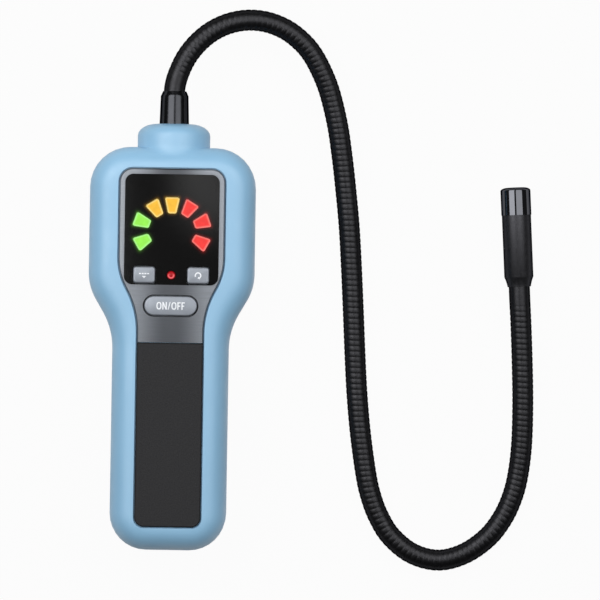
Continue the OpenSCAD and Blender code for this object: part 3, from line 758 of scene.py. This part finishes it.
def letter_shape(letter):
    """Outline of a letter or the slash, its hole or None, and its width."""
    top, stroke = LETTER_HEIGHT, STROKE
    if letter == "O":
        width = 2.1
        outer = shifted(ring_points(width / 2, top / 2), width / 2, top / 2)
        hole = shifted(ring_points(width / 2 - stroke, top / 2 - stroke), width / 2, top / 2)
        return outer, hole, width
    if letter == "N":
        width, slant = 1.85, 1.15
        right = width - stroke
        outer = [(0, 0), (stroke, 0), (stroke, top - slant), (right, 0), (width, 0),
                 (width, top), (right, top), (right, slant), (stroke, top), (0, top)]
        return outer, None, width
    if letter == "F":
        width, bar, arm = 1.35, 1.25, 1.15
        outer = [(0, 0), (stroke, 0), (stroke, bar), (arm, bar), (arm, bar + stroke),
                 (stroke, bar + stroke), (stroke, top - stroke), (width, top - stroke),
                 (width, top), (0, top)]
        return outer, None, width
    width, slim = 1.2, 0.4
    return [(0, 0), (slim, 0), (width, top), (width - slim, top)], None, width


def word_shapes(word):
    """Outlines of a word with their holes, about its middle."""
    letters = [letter_shape(letter) for letter in word]
    total = sum(width + LETTER_GAP for _, _, width in letters) - LETTER_GAP
    shapes, x, y = [], -total / 2, -LETTER_HEIGHT / 2
    for outer, hole, width in letters:
        shapes.append((shifted(outer, x, y), hole and shifted(hole, x, y)))
        x += width + LETTER_GAP
    return shapes


def scroll_shapes():
    """A row of dashes over a small arrowhead."""
    width, height, gap, count, rise = 0.85, 0.5, 0.25, 4, 0.5
    span = count * width + (count - 1) * gap
    low, high = rise - height / 2, rise + height / 2
    shapes = []
    for i in range(count):
        x = -span / 2 + i * (width + gap)
        shapes.append(([(x, low), (x + width, low), (x + width, high), (x, high)], None))
    return shapes + [([(0, -1.4), (0.9, -0.45), (-0.9, -0.45)], None)]


def polar(radius, turn):
    return radius * math.cos(turn), radius * math.sin(turn)


def turn_shapes():
    """An arrow that turns back on itself."""
    inner, outer, spread = 0.85, 1.4, 0.45
    start, end, tip, steps = 205, -60, 42, 18
    turns = [math.radians(start + (end - start) * i / steps) for i in range(steps + 1)]
    outline = [polar(outer, turn) for turn in turns]
    outline.append(polar(outer + spread, turns[-1]))
    outline.append(polar((inner + outer) / 2, turns[-1] - math.radians(tip)))
    outline.append(polar(inner - spread, turns[-1]))
    outline += [polar(inner, turn) for turn in reversed(turns)]
    return [(outline[::-1], None)]


def wall_faces(first, count, inward):
    """Walls between a lower loop, which begins at that point, and the upper loop after it."""
    faces = []
    for i in range(count):
        j = (i + 1) % count
        wall = (first + i, first + j, first + count + j, first + count + i)
        faces.append(wall[::-1] if inward else wall)
    return faces


def plain_faces(first, count):
    """Top and bottom of a plate without a hole."""
    top = tuple(first + count + i for i in range(count))
    bottom = tuple(first + i for i in reversed(range(count)))
    return [top, bottom]


def ring_faces(outer, hole, count):
    """Top and bottom of a plate between its outline and its hole."""
    faces = []
    for i in range(count):
        j = (i + 1) % count
        faces.append((outer + count + i, outer + count + j, hole + count + j, hole + count + i))
        faces.append((outer + j, outer + i, hole + i, hole + j))
    return faces


def add_sign(name, shapes, button, body, finishes):
    low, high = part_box(button)
    middle = (low + high) / 2
    points, faces = [], []
    for outer, hole in shapes:
        count = len(outer)
        starts = []
        for loop in [outer, hole] if hole else [outer]:
            starts.append(len(points))
            for z in (high.z - SIGN_SINK, high.z + SIGN_PROUD):
                points += [(middle.x + x * MM, middle.y + y * MM, z) for x, y in loop]
            faces += wall_faces(starts[-1], count, loop is hole)
        faces += ring_faces(*starts, count) if hole else plain_faces(*starts, count)
    new_piece(name, points, faces, finishes["sign_white"], body)


def add_signs(finishes):
    add_sign("power_sign", word_shapes("ON/OFF"), "power_button", "power_key", finishes)
    add_sign("left_sign", scroll_shapes(), "left_button", "left_key", finishes)
    add_sign("right_sign", turn_shapes(), "right_button", "right_key", finishes)


bpy.context.scene.view_settings.view_transform = "Standard"
set_camera()
set_world()
add_soft_box("soft_box_left", -1, LEFT_POWER)
add_soft_box("soft_box_right", 1, RIGHT_POWER)
add_floor()
FINISHES = make_finishes()
finish_nodes(FINISHES)
add_neck(FINISHES)
add_signs(FINISHES)
